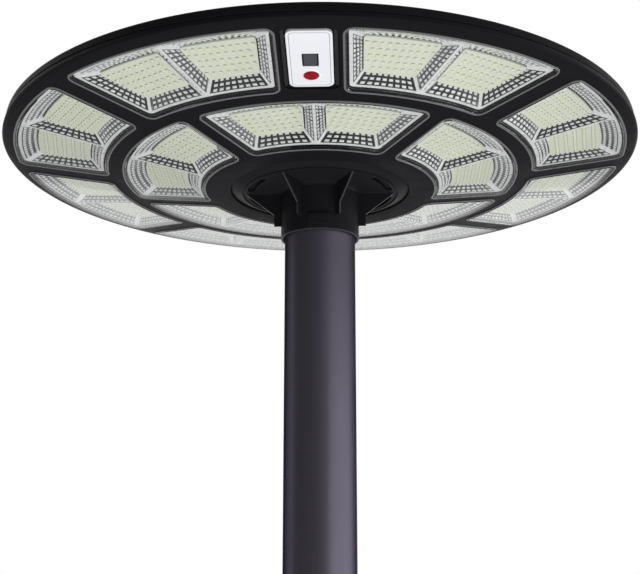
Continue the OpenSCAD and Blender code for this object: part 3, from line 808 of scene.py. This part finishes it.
# The walls of a well, with rows of pads on the straight and curved runs and plain strips in the corners
def addWell(shape, mouth, base, rimZ, floorZ):
    columns = []
    for side in windowSides(mouth, 4)[1::2]:
        run = sum((q - p).length for p, q in zip(side, side[1:]))
        columns.append(max(2, round(run / wells["pad"])))
    sides = windowSides(mouth, 4, columns)
    rows = wells["padRows"]
    for k, (high, low) in enumerate(zip(sides, windowSides(base, 4, columns))):
        gaps = 1 if k in (0, 2) else 0  # the two outer corners are pale, painted reflection like the pad tops
        upper = [Vector(p) for p in lift(high, rimZ)]
        lower = [Vector(p) for p in lift(low, floorZ)]
        for i in range(len(upper) - 1):
            for j in range(rows):
                s, t = j / rows, (j + 1) / rows
                a, b = upper[i].lerp(lower[i], s), upper[i + 1].lerp(lower[i + 1], s)
                d, c = upper[i].lerp(lower[i], t), upper[i + 1].lerp(lower[i + 1], t)
                if k % 2:
                    addPad(shape, a, b, c, d, wells["padRise"], gaps)
                else:
                    addFace(shape, addLoop(shape, [a, b, c, d]), 1 if 0 < i < len(upper) - 2 else gaps)
    return [p for side in sides for p in side[:-1]]


floorLevel = wells["rimLevel"] + wells["depth"]
for ring, number, w in windows:
    shape = newShape()
    mouths = [wellMouth(w, half) for half in (0, 1)]
    edges = [addWell(shape, mouth, wellFloor(mouth), wells["rimLevel"], floorLevel) for mouth in mouths]
    # The rim round the wells is in slot 1, the pale finish that is painted reflection
    fillBetween(shape, windowLoop(w, lens["ledge"] - wells["lap"]), edges, onUnderside(wells["rimLevel"]), 1)
    makePiece(shape, f"reflector_{ring}_{number}", [silver, paintedReflectionWhite], crease=60,
              stands=[f"reflector_{ring}_{number}"])
print("reflectors ready")

leds = {
    "pitch": {"outer": (5.5, 7.5), "inner": (6.2, 6.1)},  # across and outwards
    "edge": 1.6,  # from the board's edge to the nearest chip's middle
    "reach": 14,  # pitches either side of the board's middle that are tried
    "size": (2.5, 2.1), "height": 0.7, "taper": 0.15,
    "domeFoot": 0.8, "domeTop": 0.45,  # dome's width as a share of the chip's
    "domeRise": 0.18,
    "contact": (2.6, 3.3), "contactRise": 0.03,
}
boardCream = mouldedPlastic("board cream", (0.73, 0.755, 0.63), (0.79, 0.815, 0.69), 0.35, 0.5, 0.3, 1.2, 0.01)
chipWhite = mouldedPlastic("chip white", (0.86, 0.87, 0.84), (0.92, 0.93, 0.90), 0.4, 0.5, 0.4)
# Contacts under each chip: partly real pads, partly a painted shadow round the chip
contactShadowGrey = mouldedPlastic("contact painted shadow grey", (0.20, 0.21, 0.17), (0.26, 0.27, 0.23), 0.4, 0.5, 0.4)
chipYellow = mouldedPlastic("chip yellow", (0.88, 0.82, 0.24), (0.93, 0.90, 0.40), 0.25, 0.35, 0.5)


# Slots: 1 for the chip, 2 for its dome, 3 for the contacts under it, whose dark margin round the chip is partly
# a painted shadow
def addChip(shape, centre, along, across, down):
    def addRing(outline, w, h, z):
        return addLoop(shape, [centre + along * (x * w) + across * (y * h) + down * z for x, y in outline])

    w, h = leds["size"][0] / 2, leds["size"][1] / 2
    square = ((-1, -1), (1, -1), (1, 1), (-1, 1))
    hexagon = [toward(60 * i) for i in range(6)]
    low = addRing(square, w, h, 0)
    top = addRing(square, w - leds["taper"], h - leds["taper"], leds["height"])
    joinLoops(shape, low, top, 1)
    addFace(shape, top, 1)
    foot = addRing(hexagon, w * leds["domeFoot"], h * leds["domeFoot"], leds["height"])
    dome = addRing(hexagon, w * leds["domeTop"], h * leds["domeTop"], leds["height"] + leds["domeRise"])
    joinLoops(shape, foot, dome, 2)
    addFace(shape, dome, 2)
    addFace(shape, addRing(square, leds["contact"][0] / 2, leds["contact"][1] / 2, leds["contactRise"]), 3)


boardZ = floorLevel - wells["boardDrop"] - wells["board"]
for ring in ("outer", "inner"):
    boards = newShape()
    pitchAcross, pitchOut = leds["pitch"][ring]
    grid = [(i * pitchAcross, j * pitchOut) for i in range(-leds["reach"], leds["reach"] + 1)
            for j in range(-leds["reach"] // 2, leds["reach"] // 2 + 1)]
    for mouth in (wellMouth(w, half) for kind, _, w in windows if kind == ring for half in (0, 1)):
        base = inset(wellFloor(mouth), wells["boardMargin"])
        sweepWindow(boards, base, [(0, boardZ + wells["board"]), (0, boardZ + wells["boardEdge"]),
                                   (wells["boardEdge"], boardZ)])
        fillBetween(boards, windowLoop(base, wells["boardEdge"]), [], onUnderside(boardZ))
        out = toward((mouth[0] + mouth[2]) / 2)
        across = Vector((-out.y, out.x))
        centreR = (base[4] + base[5]) / 2
        places = [out * (centreR + v) + across * u for u, v in grid]
        kept = isInside(windowLoop(base, leds["edge"]), np.array([p[:] for p in places]))
        slopeOut = Vector((out.x, out.y, fall)).normalized()
        slopeAcross = Vector((across.x, across.y, 0))
        down = slopeOut.cross(slopeAcross)
        down = -down if down.z > 0 else down
        for p, keep in zip(places, kept):
            if keep:
                spot = Vector((p[0], p[1], underZ(p[0], p[1], boardZ)))
                addChip(boards, spot, slopeAcross, slopeOut, down)
    makePiece(boards, f"ledBoards{ring.title()}", [boardCream, chipWhite, chipYellow, contactShadowGrey],
              stands=[f"led_boards_{ring}"])
print("LED boards ready")

# Control panel

plateZ = panel["recessDepth"] - panel["plateThick"]
plateOutline = plateLoop(*panel["plate"], panel["plateCorner"])
windowOutline = plateLoop(*panel["sensor"], 0.5, cy=panel["sensorAt"], steps=3)
buttonOutline = [Vector((0, panel["buttonAt"])) + p for p in ringLoop(panel["button"] / 2 + panel["gap"], 48)]
plate = newShape()
for outline in (plateOutline, windowOutline, buttonOutline):
    joinLoops(plate, addLoop(plate, panelLoop(outline, plateZ)),
              addLoop(plate, panelLoop(outline, plateZ + panel["plateThick"])))
fillBetween(plate, plateOutline, [windowOutline, buttonOutline], lambda x, y: onPanel(x, y, plateZ))
makePiece(plate, "labelPlate", [labelWhite], stands=["label_plate"], bevel=0.3)

border = newShape()
width, length = panel["plate"]
borderLoops = [plateLoop(width - 2 * d, length - 2 * d, panel["plateCorner"] - d)
               for d in (panel["lineIn"], panel["lineIn"] + panel["line"])]
joinLoops(border, *[addLoop(border, panelLoop(loop, plateZ - panel["lineRise"])) for loop in borderLoops])
makePiece(border, "labelBorder", [labelLine])

eyeWindow = newShape()
sw, sl = [size - 2 * panel["gap"] for size in panel["sensor"]]
eyeZ = plateZ + panel["sensorSink"]
loops = []
for d, z in panel["sensorRim"]:
    outline = plateLoop(sw - 2 * d, sl - 2 * d, 0.6, cy=panel["sensorAt"], steps=3)
    loops.append(addLoop(eyeWindow, panelLoop(outline, eyeZ + z)))
joinAll(eyeWindow, loops[:3], 1)
joinLoops(eyeWindow, loops[2], loops[3], 0)
addFace(eyeWindow, loops[3], 0)
makePiece(eyeWindow, "sensorWindow", [sensorGrey, recessPlastic], stands=["sensor_window"])


# Turns a profile of (radius, depth) about the button's axis
def turnOnPanel(shape, profile):
    centre = Vector((0, panel["buttonAt"]))
    joinAll(shape, [addLoop(shape, panelLoop([centre + p for p in ringLoop(r, 64)], z)) for r, z in profile])


button = newShape()
br = panel["button"] / 2
domeZ = plateZ - panel["buttonRise"]
flangeR, flangeZ = br + panel["flange"], panel["recessDepth"] + panel["flangeSink"]
flangeEnd = flangeZ + panel["flangeThick"]
turnOnPanel(button, [(br * r, domeZ + z) for r, z in panel["dome"]]
            + [(br, flangeZ), (flangeR, flangeZ), (flangeR, flangeEnd), (0, flangeEnd)])
makePiece(button, "powerButton", [buttonRed], body="button", stands=["power_button"], crease=40)

bezel = newShape()
turnOnPanel(bezel, softCorners([(br + r, plateZ + z, *corner) for r, z, *corner in panel["bezel"]], 0.2, 2))
makePiece(bezel, "buttonBezel", [labelWhite])
print("control panel ready")

# Hub

hub = {
    "thick": 6.0, "edge": 2.6,  # flange, and the outer edge's height
    "wall": 3.1, "gap": 0.3, "fillet": 3.0, "mouth": 1.2, "join": 6.0,  # collar round the pole
    "ribThick": 2.0, "ribMargin": 13.0, "ribStand": 6.1, "ribEdge": 10.0, "ribUp": 12.5, "ribAngle": 27.0,
    "ribSink": 1.5, "root": 1.4,  # how far ribs reach into the flange, and ribs and pad into the collar
    "grooveMargin": 9.5, "grooveWidth": 2.0, "grooveDepth": 1.0,
    "slotMargin": 17.0, "slotAngle": 24.0, "slotWidth": 6.0, "slotDepth": 3.0, "slotSweep": 28.0,
    "slotEdge": 0.4,
    "pad": (19.0, 10.0), "padUp": 3.5, "padStand": 1.6,
    "screw": ((3.9, -1.0), (3.9, 0.1), (3.5, 0.3)),  # radius and stand of the rings of a screw's head
    "socket": ((2.3, 0.3), (2.2, -1.4)),
}
faceZ = hubSeatZ - hub["thick"]
boreR = poleR + hub["gap"]
collarR = boreR + hub["wall"]
filletR = collarR + hub["fillet"]
grooveR = hubR - hub["grooveMargin"]
slotR = hubR - hub["slotMargin"]


def slotLoop(angle, extra=0.0, steps=14):
    half, r = hub["slotSweep"] / 2, hub["slotWidth"] / 2 + extra
    start, stop = angle - half, angle + half
    loop = [(slotR + r) * toward(a) for a in spread(start, stop, steps)]
    loop += [slotR * toward(stop) + r * toward(a) for a in spread(stop, stop + 180, 8)[1:-1]]
    loop += [(slotR - r) * toward(a) for a in spread(stop, start, steps)]
    loop += [slotR * toward(start) + r * toward(a) for a in spread(start + 180, start + 360, 8)[1:-1]]
    return loop


flange = newShape()
slotPlaces = [side + s * hub["slotAngle"] for side in (90, 270) for s in (-1, 1)]
edge = hub["slotEdge"]
slotMouths = [slotLoop(a, edge) for a in slotPlaces]
grooveIn, grooveZ = grooveR - hub["grooveWidth"], faceZ + hub["grooveDepth"]
fillBetween(flange, ringLoop(grooveIn), [ringLoop(filletR)] + slotMouths, atHeight(faceZ))
slotProfile = ((edge, 0), (0.3 * edge, 0.3 * edge), (0, edge), (0, hub["slotDepth"]))
for a in slotPlaces:
    loops = [addLoop(flange, flat(slotLoop(a, out), faceZ + depth)) for out, depth in slotProfile]
    joinAll(flange, loops)
    addFace(flange, loops[-1])
groove = [(grooveIn, faceZ), (grooveIn, grooveZ, 0.3), (grooveR, grooveZ, 0.3), (grooveR, faceZ, 0.3),
          (hubR, hubSeatZ - hub["edge"], 0.6), (hubR, hubSeatZ), (0, hubSeatZ)]
revolve(flange, softCorners(groove, 0.3))
fillet = [(filletR - hub["fillet"] * math.sin(a), faceZ - hub["fillet"] * (1 - math.cos(a)))
          for a in map(math.radians, spread(0, 90, 9))]
mouth = softCorners([(collarR, collarZ + hub["join"]), (collarR, collarZ, 0.6),
                     (boreR + hub["mouth"], collarZ, 0.2), (boreR, collarZ + hub["mouth"], 0.2),
                     (boreR, poleHigh[2]), (0, poleHigh[2])], 0.3)
# The hub's lower edge, which catches the light, has a lighter finish of its own, a painted highlight
edgeEnd = 1 + max(i for i, p in enumerate(mouth) if p[1] < collarZ + 0.05)
revolve(flange, fillet + mouth[:2])
revolve(flange, mouth[1:edgeEnd], 1)
revolve(flange, mouth[edgeEnd - 1:])
makePiece(flange, "hubFlange", [hubPlastic, ribEdgeHighlight], stands=["mounting_hub"])

ribs = newShape()
ribOut, ribTip = collarR + hub["ribStand"], collarZ + hub["ribUp"]
rootR, rootZ = collarR - hub["root"], faceZ + hub["ribSink"]
ribProfile = [(rootR, ribTip), (ribOut, ribTip), (ribOut, ribTip + hub["ribEdge"]),
              (hubR - hub["ribMargin"], faceZ), (hubR - hub["ribMargin"], rootZ), (rootR, rootZ)]
for a in (hub["ribAngle"], 90, 180 - hub["ribAngle"], 180 + hub["ribAngle"], 270, 360 - hub["ribAngle"]):
    addFin(ribs, ribProfile, a, hub["ribThick"], highlighted=(1, 2))
makePiece(ribs, "hubRibs", [hubPlastic, ribEdgeHighlight], bevel=0.3, crease=20)

pad = newShape()
padW, padH = hub["pad"]
padR = collarR + hub["padStand"]
half = math.degrees(math.asin(padW / 2 / padR))
padLoop = [padR * toward(a) for a in spread(-half, half, 12)]
padLoop += [rootR * toward(a) for a in spread(half, -half, 12)]
loops = [addLoop(pad, flat(padLoop, collarZ + hub["padUp"] + up)) for up in (0, padH)]
for loop in loops:
    addFace(pad, loop)
joinLoops(pad, *loops)
makePiece(pad, "hubPad", [hubPlastic], bevel=0.6)

steel, steelShader = newFinish("screw steel", (0.42, 0.42, 0.43), 0.35, metallic=1.0)
addMottle(steel, steelShader, 6, (0.36, 0.36, 0.37), (0.48, 0.48, 0.49))
addWear(steel, steelShader, 3, 0.28, 0.42)
screws = newShape()


# A ring that faces outwards from the collar, round or with six sides
def screwRing(angle, radius, stand, sixSided=False, count=36):
    out, up = Vector((*toward(angle), 0)), Vector((0, 0, 1))
    across = Vector((-out.y, out.x, 0))
    centre = out * (collarR + stand) + up * ribTip
    ring = []
    for t in (2 * math.pi * i / count for i in range(count)):
        r = radius
        if sixSided:
            r *= math.cos(math.pi / 6) / math.cos((t + math.pi / 6) % (math.pi / 3) - math.pi / 6)
        ring.append(centre + (across * math.cos(t) + up * math.sin(t)) * r)
    return ring


for a in (135 - hub["ribAngle"] / 2, 225 + hub["ribAngle"] / 2):
    loops = [addLoop(screws, screwRing(a, *ring)) for ring in hub["screw"]]
    loops += [addLoop(screws, screwRing(a, *ring, sixSided=True)) for ring in hub["socket"]]
    joinAll(screws, loops)
    addFace(screws, loops[-1])
makePiece(screws, "clampScrews", [steel], stands=["clamp_screws"])
print("hub ready")

# Pole and foot

paint, paintShader = newFinish("pole paint", (0.098, 0.089, 0.118), 0.34, metallic=0.6, specular=0.0)
paintShader.inputs["Specular Tint"].default_value = (0.02, 0.02, 0.02, 1)
addMottle(paint, paintShader, 120, (0.092, 0.084, 0.111), (0.104, 0.094, 0.125))
addWear(paint, paintShader, 60, 0.30, 0.38)
addGrain(paint, paintShader, 1.6, 0.02, 0.6)
pole = {"wall": 3.0, "open": 30.0}
tube = newShape()
poleIn, poleTop = poleR - pole["wall"], poleHigh[2]
revolve(tube, softCorners([(poleIn, poleLow[2]), (poleR, poleLow[2], 0.3), (poleR, poleTop, 0.5),
                           (poleIn, poleTop, 0.4), (poleIn, poleTop - pole["open"])], 0.4), count=160)
makePiece(tube, "poleTube", [paint], stands=["pole"])

foot = {"corner": 12.0, "anchor": 160.0, "hole": 18.0, "gusset": 8.0, "gussetToe": 10.0, "lap": 0.2}
footW, footT = footHigh[0] * 2, footHigh[2]
base = newShape()
square = plateLoop(footW, footW, foot["corner"])
holes = [[Vector((x * foot["anchor"] / 2, y * foot["anchor"] / 2)) + p for p in ringLoop(foot["hole"] / 2, 48)]
         for x in (-1, 1) for y in (-1, 1)]
for outline in [square] + holes:
    joinLoops(base, addLoop(base, flat(outline, 0)), addLoop(base, flat(outline, footT)))
for z in (0, footT):
    fillBetween(base, square, holes, atHeight(z))
makePiece(base, "basePlate", [paint], stands=["base_plate"], bevel=0.8)

gussets = newShape()
gussetR, gussetZ = gussetHigh[0], gussetHigh[2]
gussetIn = poleR - foot["lap"]
gussetProfile = [(gussetIn, footT), (gussetR, footT), (gussetR, footT + foot["gussetToe"]),
                 (poleR + foot["gussetToe"], gussetZ), (gussetIn, gussetZ)]
for a in range(0, 360, 90):
    addFin(gussets, gussetProfile, a, foot["gusset"])
makePiece(gussets, "footGussets", [paint], stands=["foot_gussets"], bevel=0.6, crease=20)

weld = {
    "size": 3.2, "gussetSize": 2.72, "ripple": 0.1, "wave": 2.6, "section": (-25, 0, 22, 45, 68, 90, 115),
    "begin": 2.0, "end": 1.0,  # from the corner, and short of a gusset's end
    "steps": 60, "stepsUp": 80,
}
section = [(math.cos(t), math.sin(t)) for t in map(math.radians, weld["section"])]


# A rippled bead along the corner between two faces. sides and ups lead away from it at each point
def addWeld(shape, path, sides, ups, size):
    run, rings = 0.0, []
    for i, (p, side, up) in enumerate(zip(path, sides, ups)):
        if i:
            run += (p - path[i - 1]).length
        swell = size * (1 + weld["ripple"] * math.sin(run / size * weld["wave"]))
        rings.append(addLoop(shape, [p + side * swell * c + up * swell * s for c, s in section]))
    joinAll(shape, rings, closed=False)


welds = newShape()
up = Vector((0, 0, 1))
turned = math.degrees(math.asin(foot["gusset"] / 2 / poleR))
for k in range(4):
    outs = [Vector((*toward(a), 0)) for a in spread(90 * k + turned, 90 * (k + 1) - turned, weld["steps"])]
    addWeld(welds, [poleR * out + footT * up for out in outs], outs, repeat(up), weld["size"])
    out = Vector((*toward(90 * k), 0))
    for s in (-1, 1):
        across = Vector((-out.y, out.x, 0)) * s
        edge = across * foot["gusset"] / 2
        reaches = spread(poleR + weld["begin"], gussetR - weld["end"], weld["steps"])
        path = [out * r + edge + footT * up for r in reaches]
        addWeld(welds, path, repeat(across), repeat(up), weld["gussetSize"])
        along = math.sqrt(poleR ** 2 - (foot["gusset"] / 2) ** 2)
        heights = spread(footT + weld["begin"], gussetZ - weld["end"], weld["stepsUp"])
        path = [out * along + edge + up * z for z in heights]
        addWeld(welds, path, repeat(across), repeat(out), weld["gussetSize"])
makePiece(welds, "footWelds", [paint], crease=70)
print("pole and foot ready")
